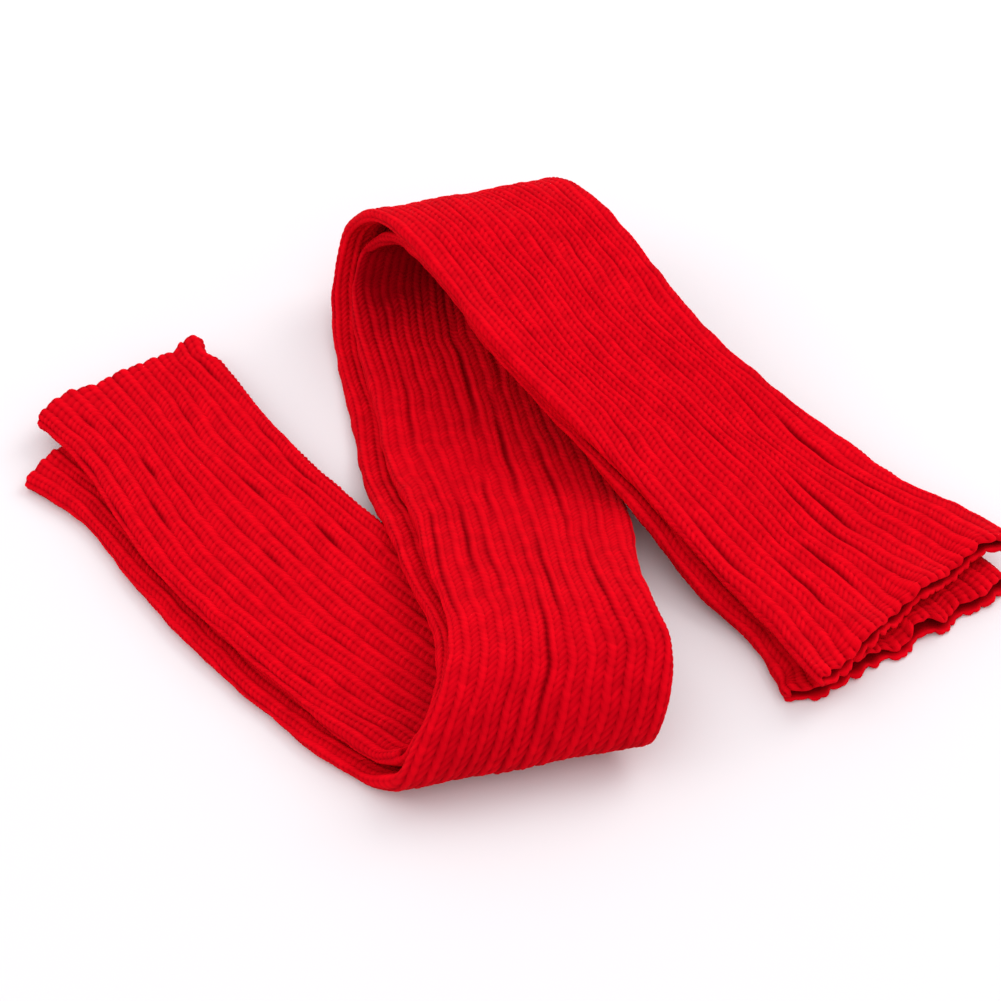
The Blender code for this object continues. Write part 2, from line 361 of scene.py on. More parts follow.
@dataclass(frozen=True)
class Lip:
    """Shape of a sock's edge at one mouth."""

    gape: float  # how far the two layers part
    left_flare: float = 0.0  # how far its left-hand and right-hand corners spread
    right_flare: float = 0.0
    nip: float = 0.0  # how far the right-hand edge is drawn in, a little up from the mouth
    # place across, as a share of the width; how far out; half its width, as a share
    bulges: tuple[tuple[float, float, float], ...] = ()
    wave: float = 0.0  # rise and fall of both layers together
    wave_length: float = 31.0
    back: float = 0.0  # how far the upper layer's edge stands back from the lower one's
    scallop: float = 0.42  # how far a rib's end stands past its furrow's
    knob: float = 0.2  # how much a rib's end swells
    ragged: float = 0.0  # unevenness of the edge
    ragged_length: float = 9.7  # from tooth to tooth across, and from rough to smooth
    ragged_beat: float = 23.0
    pucker: float = 0.0  # rise and fall of the layer next to the other sock
    pucker_length: float = 21.0
    reach: float = 26.0  # how far up the sock the gape and the waves fade out
    flare_reach: float = 42.0
    bulge_reach: float = 14.0
    nip_from: float = 9.0  # how far up the sock the nip lies, and half its length
    nip_length: float = 4.0

    def outline(self, share: np.ndarray) -> np.ndarray:
        """Returns how far the edge stands out at each share of the width."""
        return sum((out * np.exp(-(((share - at) / wide) ** 2)) for at, out, wide in self.bulges), 0 * share)


@dataclass(frozen=True)
class Stretch:
    """One stretch of a sock that is made as a piece."""

    name: str
    start: float  # where it starts and stops along the pair's length
    stop: float
    stitched: tuple[int, int]  # run of ribs whose stitches show
    rests_on: str  # what carries it


@dataclass
class Sock:
    """One flattened rib tube, laid along the fold and open at both mouths."""

    name: str
    slot_name: str
    lay: Lay
    gauge: Gauge
    side: Side
    start: float  # how far from the pair's two ends it begins and stops
    stop: float
    left: Lip
    right: Lip
    stretches: tuple[Stretch, ...]
    creases: tuple[Crease, ...] = ()
    twist: tuple[float, float, float] = (0.0, 1.0, 0.0)  # where it starts and stops, and by how many ribs
    pull: tuple[float, float, float] = (0.0, 0.0, 0.0)  # where the ribs are pulled apart, and how far
    # share by which the ribs of the upper face are wider than the lower one's, place by place along the sock
    fanned: tuple[tuple[float, float], ...] = ((0.0, 0.0),)
    wander: Waves = Waves(3, 0.2, 70, 260, 4)
    swell: Waves = Waves(5, 0.45, 30, 110, 6)
    deepen: Waves = Waves(7, 0.26, 22, 90, 15)
    wiggle: Waves = Waves(17, 0.03, 14, 34, 5)  # short unevenness of the ribs' lines
    ruck: Waves = Waves(9, 0.28, 11, 60, 2)  # unevenness of the folded sides
    folded: tuple[float, float] = (240.0, 512.0)  # the middle run and the half folds beside it
    # where the face on its own side lies in shade, that shade is painted as a deeper red: middle, half
    # length, how much
    painted_hollow_shade: tuple[tuple[float, float, float], ...] = ()
    lift: float = 0.05  # least room kept under the cloth

    SEED = 11  # of the stitches' and the rib ends' unevenness
    WIDTH_AT, HALF_AT = 12, 13  # columns of a section that hold its width and half its thickness
    STEP = 0.5  # from one of the sections that points are placed by to the next
    PAST = 4.0  # how far they go on past a mouth
    CLIMB_REACH = (16.0, 18.0)  # how far from the left and right mouth the stitches climb in full
    SHOW_EDGE = 3.0  # how sharply the face that shows ends at the folded sides
    TURNOVER = 12.0  # how far past the middle run the face that shows changes over
    PULL_REACH = 45.0  # how far past its run the pull fades out
    GROUND_SHARE = 0.65  # share of its depth that cloth keeps over the ground, so its two faces stay apart
    INSIDE_STEP = 11.0  # from row to row of the plain inside
    MOUTH_ROWS = (0.0, 1.5, 3.5, 6.5)  # its rows by a mouth, and where the even ones start
    MOUTH_ROWS_END = 8.0
    MOUTH_NEAR = 3.0  # an end of a stretch nearer a mouth than this is that mouth
    SCALLOP_INSIDE = 14.0  # how far in the inside follows the rib ends
    RIM_ROWS = 4  # rows round a mouth's rim
    RIM_RELIEF = 0.8  # share of the relief that goes on over the rim
    KNOB_SHARES = (0.5, 0.8)  # a rib end's own length: what all have, and how much that varies
    KNOB_REACH = 2.6  # how far up the rib it goes
    KNOB_SWELL = (1.5, 0.5)  # how much it swells on the leg, and how much less beside it
    KNOB_PLACE, KNOB_WIDTH = 1.2, 1.4  # where the swelling lies, up from the mouth
    GAIN_LIMITS = (0.35, 2.1)  # least and most that furrows are deepened
    FULL_SHADE = 2.4  # depth at which the painted shade is darkest
    INSIDE_SHADE = 5.0  # how far in from a mouth the painted shade on the inside is darkest
    THIN = 0.1  # least thickness the relief leaves
    SIDE_FLAT = 0.5  # share of the relief that the folded sides lose
    RISE_SHOWN, RISE_LEAST = 0.9, 0.3  # how far cloth may stand over the ribs' tops: where it shows, anywhere

    def __post_init__(self) -> None:
        """Works out the sections that every point is placed by."""
        lay, side = self.lay, self.side.value
        self.mouths = (self.start, lay.length - self.stop)
        at = np.arange(self.mouths[0] - self.PAST, self.mouths[1] + self.PAST, self.STEP)
        within = np.clip(at, 0, lay.length)
        own = side < 0
        left = np.maximum(at - self.mouths[0], 0)
        right = np.maximum(self.mouths[1] - at, 0)
        slot = self.gauge.slot + self.left.gape * fade(left, self.left.reach)
        slot = slot + self.right.gape * fade(right, self.right.reach)
        half = self.gauge.wall + slot / 2
        along, across = lay.along(within), lay.across(within)
        up = unit(np.cross(along, across))
        centre = lay.middle(within) + along * (at - within)[:, None]
        centre = centre + up * (side * (half + lay.read("gap", within) / 2))[:, None]
        centre = centre + across * (own * lay.read("shift", within))[:, None]
        width = lay.read("width", within) + own * lay.read("wider", within)
        turned = lay.across(within, own * lay.read("turn", within))
        self.at = at
        self.sections = np.column_stack([centre, turned, up, along, width, half])
        self.stitches = round((self.mouths[1] - self.mouths[0] - self.gauge.wall) / self.gauge.course)
        chance = np.random.default_rng(self.SEED + side)
        self.stand = chance.normal(0, self.gauge.uneven, (self.gauge.ribs, self.stitches + 2))
        self.ends = chance.uniform(-1, 1, (2, 2 * self.gauge.ribs))

    def course_start(self, phase: np.ndarray) -> np.ndarray:
        """Returns where along the pair's length a stitch count falls."""
        inset = self.gauge.wall / 2
        first, last = self.mouths[0] + inset, self.mouths[1] - inset
        return first + phase * (last - first) / self.stitches

    def shear(self, along: np.ndarray) -> np.ndarray:
        """Share of the stitches' climb at each length; at a mouth the rib's end stands out instead."""
        left = fade(np.abs(along - self.mouths[0]), self.CLIMB_REACH[0])
        right = fade(np.abs(self.mouths[1] - along), self.CLIMB_REACH[1])
        vee = self.gauge.vee
        return 1 - left * (1 - self.left.scallop / vee) - right * (1 + self.right.scallop / vee)

    def showing(self, around: np.ndarray, along: np.ndarray) -> np.ndarray:
        """Returns 1 on the face that shows and 0 on the one that lies against something."""
        face = np.clip(self.SHOW_EDGE * self.side.value * np.sin(2 * np.pi * around / self.gauge.ribs), 0, 1)
        inner = fade(np.maximum(self.folded[0] - along, along - self.folded[1]), self.TURNOVER)
        return face * (1 - inner if self.side is Side.OVER else inner)

    def pulled(self, around: np.ndarray, along: np.ndarray) -> np.ndarray:
        """Returns how far the rib is pulled apart at each point: along one run, on the face that shows."""
        start, stop, amount = self.pull
        near = fade(np.maximum(start - along, along - stop), self.PULL_REACH)
        return amount * near * self.showing(around, along)

    def drift(self, around: np.ndarray, along: np.ndarray) -> np.ndarray:
        """Returns how many ribs the cloth has shifted round the sock at each point."""
        start, stop, ribs = self.twist
        turned = ribs * (1 - fade(along - start, stop - start))
        places, amounts = zip(*self.fanned)
        fan = np.interp(along, places, amounts) * self.gauge.ribs / (2 * np.pi)
        turned = turned - fan * np.cos(2 * np.pi * around / self.gauge.ribs)
        turned = turned + self.wander.at(around, along, self.gauge.ribs)
        return turned + self.wiggle.at(around, along, self.gauge.ribs)

    def place(self, around: np.ndarray, along: np.ndarray, depth: np.ndarray) -> np.ndarray:
        """Puts points of the cloth where they lie.

        Args:
            around: place round the tube, in ribs, from its left-hand edge over its upper face.
            along: place along the pair's length.
            depth: how far in from the tops of the ribs.

        Returns:
            The points, in millimetres.
        """
        near = np.array([np.interp(along, self.at, c) for c in self.sections.T]).T
        centre, across, up, ahead = near[:, 0:3], near[:, 3:6], near[:, 6:9], near[:, 9:12]
        width, half = near[:, self.WIDTH_AT], near[:, self.HALF_AT]
        flat = width / 2 - half
        arc = np.pi * half / 2
        quarter = arc + flat
        place = around % self.gauge.ribs / self.gauge.ribs * 4 * quarter
        lap = np.floor(place / (2 * quarter))
        place = place - lap * 2 * quarter
        turn = (np.clip(place, 0, arc) + np.clip(place - arc - 2 * flat, 0, arc)) / half
        sign = 1 - 2 * lap
        out_x, out_y = -np.cos(turn) * sign, np.sin(turn) * sign
        x = (np.clip(place - arc, 0, 2 * flat) - flat) * sign + out_x * (half - depth)
        y = out_y * (half - depth)
        share = x / width
        inner = np.clip(-self.side.value * out_y, 0, 1)
        rise, out, flare = 0 * x, 0 * x, 0 * x
        for lip, way, gone in self.mouths_from(along):
            near_edge = fade(np.maximum(gone, 0), lip.reach)
            close = fade(np.maximum(gone, 0), lip.bulge_reach)
            rise += near_edge * lip.wave * np.sin(2 * np.pi * x / lip.wave_length)
            rise += near_edge * lip.pucker * inner * np.sin(2 * np.pi * x / lip.pucker_length)
            ragged = lip.ragged * np.sin(2 * np.pi * x / lip.ragged_length + 2 * out_y)
            ragged = ragged * np.cos(2 * np.pi * x / lip.ragged_beat)
            out += way * close * (lip.outline(share + 0.5) + ragged - lip.back * np.clip(out_y, 0, 1))
            corner = np.where(share < 0, lip.left_flare, lip.right_flare)
            spread = fade(np.maximum(gone, 0), lip.flare_reach) * corner
            flare += np.sign(share) * (2 * share) ** 2 * spread
            nipped = np.exp(-(((gone - lip.nip_from) / lip.nip_length) ** 2))
            flare -= lip.nip * np.clip(2 * share, 0, 1) ** 2 * nipped
        points = centre + (x + flare)[:, None] * across + y[:, None] * up + out[:, None] * ahead
        points[:, 2] += rise
        points[:, 2] = np.maximum(points[:, 2], self.lift + self.GROUND_SHARE * np.maximum(depth, 0))
        return points

    def columns(self, stretch: Stretch) -> np.ndarray:
        """Returns the grid's columns for a stretch, in ribs, finer where its stitches show."""
        ribs, places = self.gauge.ribs, []
        first, last = stretch.stitched
        for rib in range(ribs):
            shows = any(first <= n < last for n in (rib, rib - ribs, rib + ribs))
            face = Face.STITCHED if shows else Face.PLAIN
            places += [rib + p for p in face.value]
        return np.array(places + [float(ribs)])

    def rows(self, first: int, last: int) -> np.ndarray:
        """Rows of the grid from stitch to stitch over the outside, and back over the inside.

        Args:
            first: stitch the stretch starts at.
            last: stitch it stops at.

        Returns:
            A row each of: place along, stitch count, depth, share of the climb, share of the relief, and
            whether the cloth is cut there.
        """
        gauge = self.gauge
        phase = np.arange((last - first) * gauge.rows + 1) / gauge.rows + first
        along = self.course_start(phase)
        none = 0 * along
        outside = np.column_stack([along, phase, none, self.shear(along), none + 1, none])
        inside = self.inside_rows(along[0], along[-1])[::-1]
        parts = [outside]
        if last == self.stitches:
            parts.append(self.rim_rows(along[-1], last, 1))
        else:
            outside[-1, 5] = inside[0, 5] = 1
        parts.append(inside)
        if first == 0:
            parts.append(self.rim_rows(along[0], 0, -1)[::-1])
        else:
            outside[0, 5] = inside[-1, 5] = 1
        parts.append(outside[:1])
        return np.concatenate(parts)

    def rim_rows(self, edge: float, stitch: int, out: int) -> np.ndarray:
        """Returns the rows round a mouth's rim, from its outside to its inside, as rows() gives them."""
        radius = self.gauge.wall / 2
        turn = np.linspace(0, np.pi, self.RIM_ROWS + 2)[1:-1]
        none = 0 * turn
        climb = none + self.shear(np.array([edge]))[0]
        share = self.RIM_RELIEF * (1 - turn / np.pi)
        past = edge + out * radius * np.sin(turn)
        return np.column_stack([past, none + stitch, radius * (1 - np.cos(turn)), climb, share, none])

    def inside_rows(self, start: float, stop: float) -> np.ndarray:
        """Returns the rows of the plain inside between two lengths, in order along the sock."""
        along = self.lay.spread(start, stop, max(4, round((stop - start) / self.INSIDE_STEP)))
        near = np.array(self.MOUTH_ROWS)
        if along[0] < self.mouths[0] + self.MOUTH_NEAR:
            along = np.concatenate([start + near, along[along > start + self.MOUTH_ROWS_END]])
        if along[-1] > self.mouths[1] - self.MOUTH_NEAR:
            along = np.concatenate([along[along < stop - self.MOUTH_ROWS_END], stop - near[::-1]])
        climb = self.left.scallop * fade(along - self.mouths[0], self.SCALLOP_INSIDE)
        climb = climb - self.right.scallop * fade(self.mouths[1] - along, self.SCALLOP_INSIDE)
        climb = climb / self.gauge.vee
        none = 0 * along
        return np.column_stack([along, none, none + self.gauge.wall, climb, none, none])

    def mouths_from(self, along: np.ndarray) -> tuple[tuple[Lip, int, np.ndarray], ...]:
        """Returns each mouth's lip, the way out of it and how far each point is from it."""
        left, right = self.mouths
        return (self.left, -1, along - left), (self.right, 1, right - along)

    def knobs(self, along: np.ndarray, leg: np.ndarray, uneven: np.ndarray) -> np.ndarray:
        """How far the rib ends stand out past the mouths.

        Args:
            along: place along the pair's length.
            leg: 1 on the tops of the ribs' legs, 0 between them.
            uneven: how much longer each point's own rib end is, at the left and the right mouth.

        Returns:
            The places along, moved.
        """
        least, varies = self.KNOB_SHARES
        moved = along
        for (lip, way, gone), own in zip(self.mouths_from(along), uneven):
            longer = lip.knob * leg * (least + varies * own)
            moved = moved + way * longer * np.exp(-((gone / self.KNOB_REACH) ** 2))
        return moved

    def skin(self, columns: np.ndarray, rows: np.ndarray) -> tuple[np.ndarray, np.ndarray]:
        """Every grid point's place on the sock.

        Args:
            columns: the grid's columns, in ribs.
            rows: the grid's rows, as rows() gives them.

        Returns:
            The points in millimetres, and how much painted shade each gets, from 0 to 1.
        """
        gauge = self.gauge
        around = np.tile(columns, len(rows))
        along, phase, base, climb, share = (np.repeat(rows[:, i], len(columns)) for i in range(5))
        along = along + climb * gauge.climb(around)
        leg = np.abs(np.sin(2 * np.pi * around))
        uneven = self.ends[:, np.floor(2 * around).astype(int) % (2 * gauge.ribs)]
        along = self.knobs(along, leg, uneven)
        gain = np.clip(1 + self.deepen.at(around, along, gauge.ribs), *self.GAIN_LIMITS)
        relief = gauge.relief(around, phase, gain, self.pulled(around, along))
        rib = np.round(around).astype(int) % gauge.ribs
        stitch = np.clip(np.floor(phase).astype(int), 0, self.stitches)
        relief = relief - self.stand[rib, stitch] * np.abs(np.sin(np.pi * phase))
        more, less = self.KNOB_SWELL
        for (lip, _, gone), own in zip(self.mouths_from(along), uneven):
            swollen = lip.knob * (more * leg - less + own * leg)
            relief = relief - swollen * np.exp(-(((np.abs(gone) - self.KNOB_PLACE) / self.KNOB_WIDTH) ** 2))
        for crease in self.creases:
            relief = relief + crease.depth_at(around, along, gauge.ribs)
        # painted shade: the red is darkened by depth in furrows, holes and creases, on the inside and in the
        # listed hollows
        painted_shade = self.shade(around, along, relief * share, base > gauge.wall - self.THIN)
        bare = self.showing(around, along)
        brow = np.exp(-(((around + gauge.ribs / 4) % (gauge.ribs / 2) - gauge.ribs / 4) ** 2))
        relief = relief * (1 - self.SIDE_FLAT * brow)
        relief = relief + bare * self.swell.at(around, along, gauge.ribs)
        relief = relief + brow * self.ruck.at(around, along, gauge.ribs)
        lowest = -self.RISE_SHOWN * np.maximum(bare, brow) - self.RISE_LEAST
        depth = base + share * np.clip(relief, lowest, gauge.wall - self.THIN)
        return self.place(around + self.drift(around, along), along, depth), painted_shade

    def shade(
        self, around: np.ndarray, along: np.ndarray, relief: np.ndarray, inside: np.ndarray
    ) -> np.ndarray:
        """How much painted shade each point gets: more down in furrows, holes and creases, on the inside away
        from the mouths, and in the sock's listed hollows.

        Args:
            around: place round the sock, in ribs.
            along: place along the pair's length.
            relief: depth below the tops of the ribs.
            inside: whether a point is on the plain inside.

        Returns:
            The share of the painted shade colour, from 0 to 1.
        """
        inmost = np.minimum(along - self.mouths[0], self.mouths[1] - along)
        painted_shade = np.clip(relief / self.FULL_SHADE, 0, 1)
        painted_shade = np.where(inside, np.clip(inmost / self.INSIDE_SHADE, 0, 1), painted_shade)
        turned = self.side.value * np.sin(2 * np.pi * around / self.gauge.ribs)
        facing = np.clip(2 * turned, 0, 1)
        # painted shade where the sock's own face lies in a dark hollow
        for middle, reach, gloom in self.painted_hollow_shade:
            painted_shade = np.clip(painted_shade + gloom * facing * fade(np.abs(along - middle), reach), 0, 1)
        return painted_shade

    def build(self, stretch: Stretch, yarn: bpy.types.Material) -> bpy.types.Object:
        """Knits one stretch as a closed piece: outside, inside and the edges between them.

        Args:
            stretch: which stretch to make.
            yarn: the material of the yarn it is knitted in.

        Returns:
            The finished piece.
        """
        first, last = (self.stitch_near(p) for p in (stretch.start, stretch.stop))
        columns, rows = self.columns(stretch), self.rows(first, last)
        mesh = bmesh.new()
        mesh.loops.layers.uv.new("knit")
        bmesh.ops.create_grid(
            mesh, x_segments=len(columns) - 1, y_segments=len(rows) - 1, size=0.5, calc_uvs=True
        )
        data = bpy.data.meshes.new(f"{self.name}_{stretch.name}")
        mesh.to_mesh(data)
        mesh.free()
        self.roll(data, columns, rows)
        mesh = bmesh.new()
        mesh.from_mesh(data)
        bmesh.ops.remove_doubles(mesh, verts=[v for v in mesh.verts if v.is_boundary], dist=1e-6)
        mesh.to_mesh(data)
        mesh.free()
        data.materials.append(yarn)
        piece = bpy.data.objects.new(data.name, data)
        bpy.context.scene.collection.objects.link(piece)
        around = float(np.mean(self.girth(rows[:, 0])))
        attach(piece, "root")
        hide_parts(self.name)
        return piece

    def stitch_near(self, along: float) -> int:
        """Returns the whole number of stitches nearest a length, within the sock."""
        first, last = self.course_start(np.array([0.0, self.stitches]))
        share = (along - first) / (last - first)
        return int(round(min(max(share, 0.0), 1.0) * self.stitches))

    def girth(self, along: np.ndarray) -> np.ndarray:
        """Returns the length round the sock at each place, in millimetres."""
        columns = (self.WIDTH_AT, self.HALF_AT)
        width, half = (np.interp(along, self.at, self.sections[:, i]) for i in columns)
        return 2 * np.pi * half + 4 * (width / 2 - half)

    def roll(self, data: bpy.types.Mesh, columns: np.ndarray, rows: np.ndarray) -> None:
        """Rolls the flat grid into the tube, and marks its pattern and its painted shade.

        Args:
            data: the flat grid's mesh.
            columns: the grid's columns, in ribs.
            rows: the grid's rows, as rows() gives them.
        """
        flat = np.empty(len(data.vertices) * 3)
        data.vertices.foreach_get("co", flat)
        flat = flat.reshape(-1, 3)
        low, high = flat.min(axis=0), flat.max(axis=0)
        column = np.round((flat[:, 0] - low[0]) / (high[0] - low[0]) * (len(columns) - 1)).astype(int)
        row = np.round((flat[:, 1] - low[1]) / (high[1] - low[1]) * (len(rows) - 1)).astype(int)
        points, painted_shade = self.skin(columns, rows)
        index = row * len(columns) + column
        data.vertices.foreach_set("co", (points[index] * MM).ravel())
        # painted shade, as a point attribute that darkens the yarn's red
        data.attributes.new("painted_shade", "FLOAT", "POINT").data.foreach_set("value", painted_shade[index])
        corner = np.empty(len(data.loops), int)
        data.loops.foreach_get("vertex_index", corner)
        chart = np.column_stack([columns[column], rows[row, 1]])[corner]
        data.uv_layers["knit"].data.foreach_set("uv", chart.ravel())
        ends = np.empty(len(data.edges) * 2, int)
        data.edges.foreach_get("vertices", ends)
        ends = ends.reshape(-1, 2)
        cut = (rows[row[ends], 5] > 0).all(axis=1) & (row[ends[:, 0]] == row[ends[:, 1]])
        data.shade_smooth()
        data.attributes.new("sharp_edge", "BOOLEAN", "EDGE").data.foreach_set("value", cut)


@dataclass(frozen=True)
class AcrylicYarn:
    """Soft-spun acrylic, dyed bright red: matt and faintly fuzzy, with painted shade darkening it down
    between the ribs.
    """

    top: str = "#D20516"
    # the red painted in as shade down in furrows, holes, creases and hollows
    painted_shade: str = "#8A000B"
    tint: str = "#FF2020"
    fibre: float = 0.45  # millimetres from fibre clump to fibre clump
    mottle: float = 6.0  # millimetres over which the dye varies

    def material(self) -> bpy.types.Material:
        """Returns the yarn's material: full red on the ribs, a deeper red painted as shade down in the
        furrows, no shine.
        """
        material = bpy.data.materials.new("red_acrylic_rib_knit")
        material.use_nodes = True
        tree = material.node_tree
        tree.nodes.clear()
        place = add_node(tree, "ShaderNodeTexCoord").outputs["Object"]
        # painted shade: this attribute mixes the top red toward the deeper red
        painted_shade = add_node(tree, "ShaderNodeAttribute", {"attribute_name": "painted_shade"}).outputs["Fac"]
        shade = add_node(
            tree, "ShaderNodeMapRange", {"From Min": 0.04, "From Max": 0.62}, {"Value": painted_shade}
        )
        dye = add_node(
            tree,
            "ShaderNodeMix",
            {"data_type": "RGBA", 6: linear(self.top), 7: linear(self.painted_shade)},
            {0: shade.outputs["Result"]},
        )
        patch = add_node(
            tree,
            "ShaderNodeTexNoise",
            {"Scale": 1 / (self.mottle * MM), "Detail": 2.0, "Roughness": 0.5},
            {"Vector": place},
        )
        fuzz = add_node(
            tree,
            "ShaderNodeTexNoise",
            {"Scale": 1 / (self.fibre * MM), "Detail": 3.0, "Roughness": 0.6},
            {"Vector": place},
        )
        light = add_node(
            tree,
            "ShaderNodeMapRange",
            {"From Min": 0.3, "From Max": 0.7, "To Min": 0.88, "To Max": 1.08},
            {"Value": patch.outputs["Fac"]},
        )
        colour = add_node(
            tree,
            "ShaderNodeHueSaturation",
            {"Saturation": 1.0},
            {"Color": dye.outputs[2], "Value": light.outputs["Result"]},
        )
        bump = add_node(
            tree,
            "ShaderNodeBump",
            {"Strength": 0.6, "Distance": 0.15 * MM},
            {"Height": fuzz.outputs["Fac"]},
        )
        shader = add_node(
            tree,
            "ShaderNodeBsdfPrincipled",
            {
                "Roughness": 0.8,
                "Specular IOR Level": 0.03,
                "Specular Tint": linear(self.tint),
                "Sheen Weight": 0.06,
                "Sheen Roughness": 0.4,
                "Sheen Tint": linear(self.tint),
            },
            {"Base Color": colour.outputs["Color"], "Normal": bump.outputs["Normal"]},
        )
        add_node(tree, "ShaderNodeOutputMaterial", None, {"Surface": shader.outputs["BSDF"]})
        return material


@dataclass(frozen=True)
class Studio:
    """A white paper sweep, soft light from all round and the photograph's camera."""

    paper: str = "#DFDEDF"
    room: str = "#FFF8FB"
    fill: float = 1.21
    back_place: tuple[float, float, float] = (1.0, 0.8, 1.2)
    back_power: float = 9.5
    side_place: tuple[float, float, float] = (-1.3, 0.0, 1.0)
    side_power: float = 3.4
    box_size: float = 1.0
    floor_size: float = 6.0
    target: tuple[float, float, float] = (-0.0035, -0.0015, 0.0)
    elevation: float = 45.0
    distance: float = 0.85
    view_angle: float = 25.0
    sensor: float = 36.0  # millimetres
    clip: tuple[float, float] = (0.05, 20.0)

    def build_floor(self) -> None:
        """Lays the paper the pair lies on."""
        mesh = bmesh.new()
        bmesh.ops.create_grid(mesh, x_segments=1, y_segments=1, size=self.floor_size / 2)
        data = bpy.data.meshes.new("paper_floor")
        mesh.to_mesh(data)
        mesh.free()
        material = bpy.data.materials.new("matt_white_paper")
        material.use_nodes = True
        shader = material.node_tree.nodes["Principled BSDF"]
        shader.inputs["Base Color"].default_value = linear(self.paper)
        shader.inputs["Roughness"].default_value = 0.95
        shader.inputs["Specular IOR Level"].default_value = 0.1
        data.materials.append(material)
        floor = bpy.data.objects.new("paper_floor", data)
        bpy.context.scene.collection.objects.link(floor)

    def add_light(self, name: str, place: tuple[float, float, float], power: float) -> None:
        """Hangs a square soft box that faces the pair.

        Args:
            name: the light's name.
            place: where it hangs, in metres.
            power: its watts.
        """
        lamp = bpy.data.lights.new(name, "AREA")
        lamp.shape = "SQUARE"
        lamp.size = self.box_size
        lamp.energy = power
        item = bpy.data.objects.new(name, lamp)
        item.location = place
        item.rotation_euler = (-Vector(place)).to_track_quat("-Z", "Y").to_euler()
        bpy.context.scene.collection.objects.link(item)

    def build_lights(self) -> None:
        """Lights the pair evenly from the white room, with a little more from behind and from the left."""
        world = bpy.data.worlds.new("white_room")
        world.use_nodes = True
        room = world.node_tree.nodes["Background"]
        room.inputs["Color"].default_value = linear(self.room)
        room.inputs["Strength"].default_value = self.fill
        bpy.context.scene.world = world
        self.add_light("back_soft_box", self.back_place, self.back_power)
        self.add_light("side_soft_box", self.side_place, self.side_power)

    def build_camera(self) -> None:
        """Sets the camera where the photograph was taken from."""
        lens = bpy.data.cameras.new("camera")
        lens.sensor_width = self.sensor
        lens.lens = lens.sensor_width / 2 / math.tan(math.radians(self.view_angle / 2))
        lens.clip_start, lens.clip_end = self.clip
        camera = bpy.data.objects.new("camera", lens)
        rise = math.radians(self.elevation)
        back = Vector((0.0, -math.cos(rise), math.sin(rise)))
        camera.location = Vector(self.target) + back * self.distance
        camera.rotation_euler = (-back).to_track_quat("-Z", "Y").to_euler()
        bpy.context.scene.collection.objects.link(camera)
        bpy.context.scene.camera = camera
        bpy.context.scene.view_settings.view_transform = "Standard"

    def build(self) -> None:
        """Builds the floor, the lights and the camera."""
        self.build_floor()
        self.build_lights()
        self.build_camera()


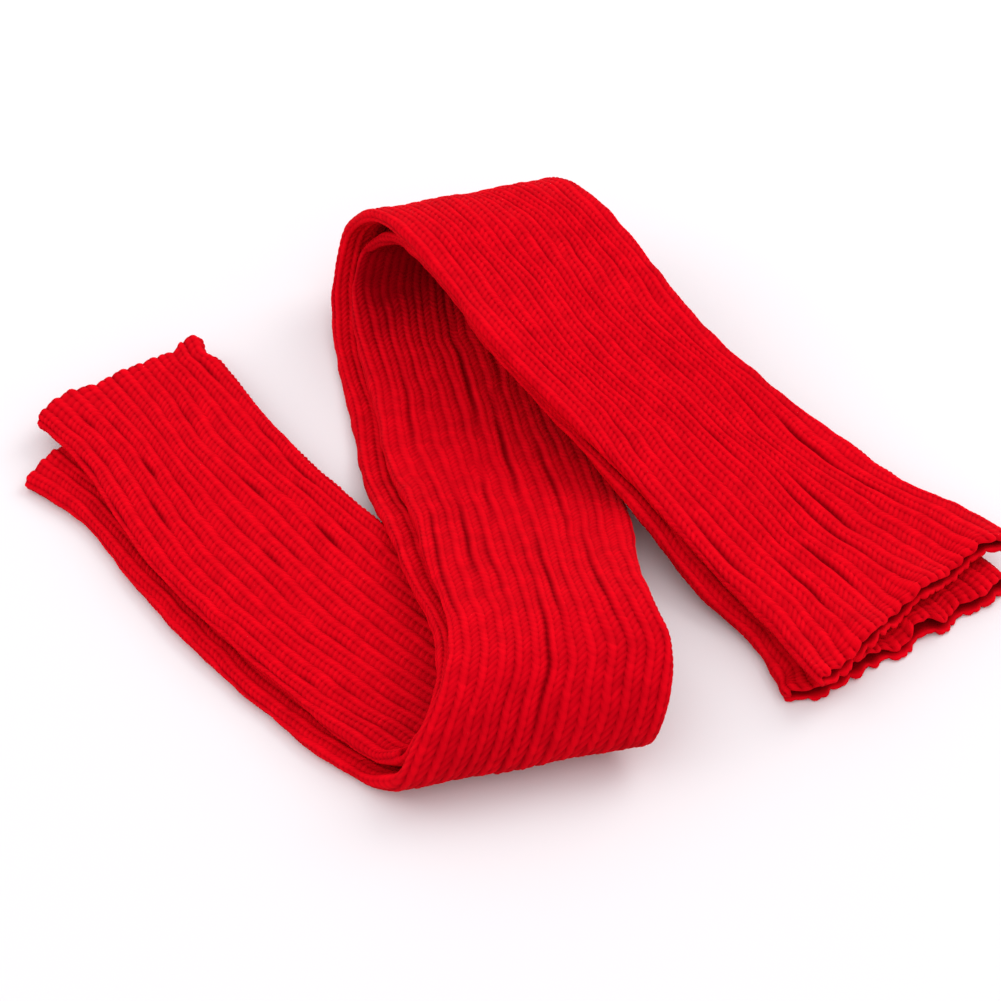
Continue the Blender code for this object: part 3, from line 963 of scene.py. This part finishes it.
def make_socks() -> list[Sock]:
    """Returns the two socks of the pair, with their stretches and creases."""
    lay, gauge = Lay(), Gauge()
    sock_a = Sock(
        name="sock_a",
        slot_name="rib_knit_a",
        lay=lay,
        gauge=gauge,
        side=Side.OVER,
        start=0.0,
        stop=5.0,
        left=Lip(
            gape=0.4,
            left_flare=2.0,
            ragged=0.5,
            nip=2.6,
            bulges=(
                (0.0, -3.5, 0.06),
                (0.2, 3.2, 0.14),
                (0.52, 1.8, 0.12),
                (0.8, -1.2, 0.06),
                (0.93, 2.2, 0.07),
            ),
        ),
        right=Lip(
            gape=1.6,
            bulges=((0.45, -2.2, 0.12), (0.75, -0.8, 0.12), (0.96, 4.0, 0.08)),
            back=0.9,
            scallop=1.0,
            knob=0.55,
            ragged=0.6,
            wave=1.9,
            pucker=0.75,
        ),
        # painted shade on the first run beside the near fold
        painted_hollow_shade=((228.0, 46.0, 0.12),),
        twist=(670.0, 715.0, -1.0),
        fanned=((0, 0.26), (190, 0.24), (260, 0.0), (500, 0.0), (540, -0.11), (680, -0.09), (750, 0.05)),
        stretches=(
            Stretch("left_run", 0, 245, (-2, 16), "sock_b"),
            Stretch("middle_run", 245, 497, (-4, 3), "sock_a_left_run"),
            Stretch("right_run", 497, 745, (-2, 16), "sock_b"),
            Stretch("right_mouth", 745, PAST_END, (0, 28), "sock_b"),
        ),
        creases=(
            # left-hand run: short pits where single furrows are pinched
            Crease(1.5, 30, 46, 0.6),
            Crease(1.5, 60, 75, 0.52),
            Crease(2.5, 30, 44, 0.52),
            Crease(3.5, 67, 88, 0.68),
            Crease(3.5, 11, 22, 0.45),
            Crease(4.5, 45, 60, 0.98),
            Crease(0.5, 106, 130, 0.6),
            Crease(0.5, 151, 167, 0.45),
            Crease(2.5, 175, 186, 0.52),
            Crease(1.5, 153, 167, 0.45),
            Crease(6.5, 113, 127, 0.6),
            Crease(8.5, 76, 92, 0.6),
            Crease(7.5, 118, 127, 0.45),
            Crease(9.5, 113, 130, 0.68),
            Crease(10.5, 90, 100, 0.45),
            Crease(10.5, 116, 125, 0.45),
            Crease(11.5, 10, 27, 0.68),
            Crease(11.5, 76, 97, 0.75),
            Crease(12.5, 94, 104, 0.52),
            # right-hand run: longer ones above its mouth
            Crease(0.5, 732, 762, 0.68),
            Crease(2.5, 726, 760, 0.6),
            Crease(4.5, 752, 782, 0.68),
            Crease(6.5, 752, 782, 0.98),
            Crease(8.5, 726, 774, 0.75),
            Crease(9.5, 722, 762, 0.83),
            Crease(7.5, 690, 714, 0.6),
            Crease(12.5, 692, 732, 1),
            Crease(12.5, 728, 768, 0.6),
        ),
    )
    sock_b = Sock(
        name="sock_b",
        slot_name="rib_knit_b",
        lay=lay,
        gauge=gauge,
        side=Side.UNDER,
        start=16.5,
        stop=1.5,
        left=Lip(gape=0.6, left_flare=3.4, ragged=0.5, bulges=((0.0, -1.5, 0.06), (0.2, 4.2, 0.12))),
        right=Lip(
            gape=2.6,
            left_flare=4.5,
            right_flare=-1.0,
            bulges=((0.0, -6.0, 0.07), (0.45, 2.8, 0.05), (0.65, 3.2, 0.05), (0.86, 3.0, 0.09)),
            back=1.9,
            scallop=1.1,
            knob=0.6,
            ragged=0.6,
            wave=1.9,
            pucker=0.75,
        ),
        pull=(266.0, 430.0, 0.4),
        # painted shade inside the far loop, and lighter painted shade over the middle run and the near fold
        painted_hollow_shade=((532.0, 68.0, 0.95), (370.0, 140.0, 0.09), (250.0, 55.0, 0.145)),
        deepen=Waves(19, 0.28, 50, 170, 15),
        wiggle=Waves(17, 0.045, 16, 44, 5),
        fanned=((0, 0.1), (230, -0.05), (512, -0.05), (560, 0.0)),
        wander=Waves(13, 0.2, 70, 260, 4),
        stretches=(
            Stretch("left_run", 0, 225, (-3, 5), "paper_floor"),
            Stretch("middle_run", 225, 560, (13, 29), "sock_a"),
            Stretch("right_run", 560, 745, (-3, 5), "paper_floor"),
            Stretch("right_mouth", 745, PAST_END, (0, 28), "paper_floor"),
        ),
        creases=(
            # middle run: long furrows pulled aslant, deepest where the run comes out from under the far fold
            Crease(26.5, 296, 368, 0.6),
            Crease(21.5, 258, 312, 0.8),
            Crease(20.5, 280, 350, 0.6, lean=0.5),
            Crease(22.5, 350, 400, 0.7, lean=-0.8),
            Crease(20.5, 356, 440, 0.9, lean=-0.6),
            Crease(21.5, 410, 486, 1.0, lean=-0.6),
            Crease(19.5, 430, 500, 0.8, lean=-0.4),
            Crease(23.5, 300, 352, 0.5, lean=0.3),
            Crease(22.5, 236, 276, 0.35),
            Crease(21.5, 238, 274, 0.2),
            Crease(20.5, 232, 284, 0.35),
            Crease(24.5, 310, 390, 0.6, lean=-0.6),
            Crease(17.5, 286, 350, 0.6),
            Crease(18.5, 330, 410, 0.6, lean=0.4),
            Crease(25.5, 392, 470, 0.6, lean=-0.5),
        ),
    )
    return [sock_a, sock_b]


def main() -> None:
    """Builds the studio and both socks."""
    logging.basicConfig(level=logging.INFO, format="%(name)s: %(message)s")
    Studio().build()
    yarn = AcrylicYarn().material()
    total = 0
    for sock in make_socks():
        for stretch in sock.stretches:
            piece = sock.build(stretch, yarn)
            triangles = 2 * len(piece.data.polygons)
            total += triangles
            LOG.info("%s: %d triangles", piece.name, triangles)
    LOG.info("whole pair: %d triangles", total)


if __name__ == "__main__":
    main()
